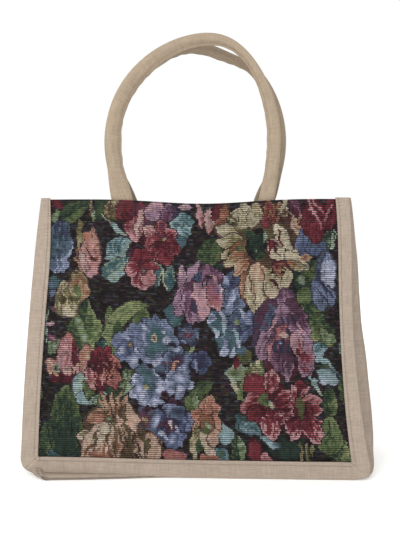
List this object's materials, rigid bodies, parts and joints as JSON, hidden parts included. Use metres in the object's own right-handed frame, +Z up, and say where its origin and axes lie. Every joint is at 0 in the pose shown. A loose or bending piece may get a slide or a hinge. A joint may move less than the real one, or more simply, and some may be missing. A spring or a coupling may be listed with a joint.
{
  "type": "carpet bag",
  "caption": "Upright open-topped tapestry shopping bag with canvas bindings, a folding canvas gusset and stuffed tube handles sewn inside the hems.",
  "frame": {"origin": "centre of the bag's box at the surface that it stands on", "axes": "+Z up from the base to the handles, the front panel faces -Y, +X to the right as seen from the front"},
  "size_m": [0.3666, 0.1044, 0.4559],
  "materials": {
    "tapestry": "matt ribbed jacquard weave with a floral pattern",
    "binding_canvas": "matt plain-weave natural canvas",
    "gusset_canvas": "matt plain-weave natural canvas",
    "handle_canvas": "matt plain-weave cream canvas",
    "handle_filler": "loose cotton cord"
  },
  "bodies": {
    "root": {"front_panel": "tapestry", "back_panel": "tapestry", "front_binding": "binding_canvas", "back_binding": "binding_canvas", "gusset": "gusset_canvas", "front_handle_cover": "handle_canvas", "back_handle_cover": "handle_canvas", "front_handle_core": "handle_filler", "back_handle_core": "handle_filler"}
  },
  "joints": []
}
